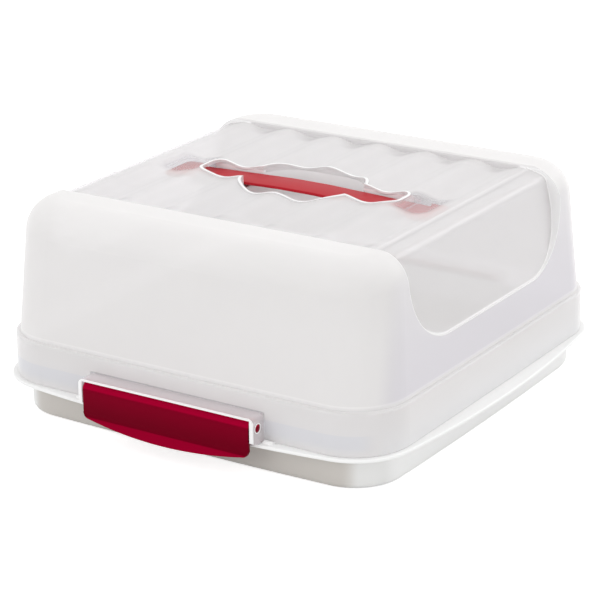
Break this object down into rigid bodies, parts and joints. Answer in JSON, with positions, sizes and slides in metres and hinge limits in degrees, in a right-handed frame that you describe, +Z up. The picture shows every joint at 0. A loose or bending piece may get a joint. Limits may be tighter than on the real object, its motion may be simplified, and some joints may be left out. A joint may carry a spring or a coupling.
{
  "type": "cake carrier with hinged lid",
  "caption": "Square cake carrier: white rimmed tray, frosted hinged lid with a clear corrugated band, red snap latches front and back, and a red carrying strap over a finger bowl.",
  "frame": {"origin": "centre of the tray's flat underside, on the surface it stands on", "axes": "+Z up; -Y is the front with the opening latch; +X is the right side window; the strap runs along X"},
  "size_m": [0.35, 0.3684, 0.159],
  "materials": {
    "tray_white": "satin white moulded plastic",
    "lid_clear": "clear moulded plastic, polished band and fine frosted end frames",
    "latch_red": "gloss deep red moulded plastic",
    "strap_red": "satin deep red flexible strap"
  },
  "bodies": {
    "tray": {"base_tray": "tray_white"},
    "lid": {"lid_shell": "lid_clear"},
    "latch_front": {"latch_front": "latch_red"},
    "latch_back": {"latch_back": "latch_red"},
    "strap_grip": {"handle_grip": "strap_red"},
    "strap_side_left": {"handle_side_left": "strap_red"},
    "strap_side_right": {"handle_side_right": "strap_red"}
  },
  "joints": [
    {"name": "lid_hinge", "type": "hinge", "parent": "tray", "child": "lid", "pos_m": [0, 0.175, 0.0395], "axis": [-1, 0, 0], "range_deg": [0, 90]},
    {"name": "front_latch", "type": "hinge", "parent": "lid", "child": "latch_front", "pos_m": [0, -0.175, 0.0395], "axis": [-1, 0, 0], "range_deg": [0, 90]},
    {"name": "back_latch_pivot", "type": "hinge", "parent": "lid", "child": "latch_back", "pos_m": [0, 0.175, 0.0395], "axis": [1, 0, 0], "range_deg": [0, 90]},
    {"name": "strap_lift", "type": "slide", "parent": "lid", "child": "strap_grip", "axis": [0, 0, 1], "range_m": [0, 0.0225]},
    {"name": "strap_bend_right", "type": "hinge", "parent": "strap_grip", "child": "strap_side_right", "pos_m": [0.015, 0, 0.1516], "axis": [0, 1, 0], "range_deg": [0, 15.85]},
    {"name": "strap_bend_left", "type": "hinge", "parent": "strap_grip", "child": "strap_side_left", "pos_m": [-0.015, 0, 0.1516], "axis": [0, -1, 0], "range_deg": [0, 15.85]}
  ],
  "couplings": [
    {"joint": "back_latch_pivot", "follows": "lid_hinge", "ratio": 1},
    {"joint": "strap_bend_right", "follows": "strap_lift", "rad_per_m": 12.256},
    {"joint": "strap_bend_left", "follows": "strap_lift", "rad_per_m": 12.256}
  ]
}
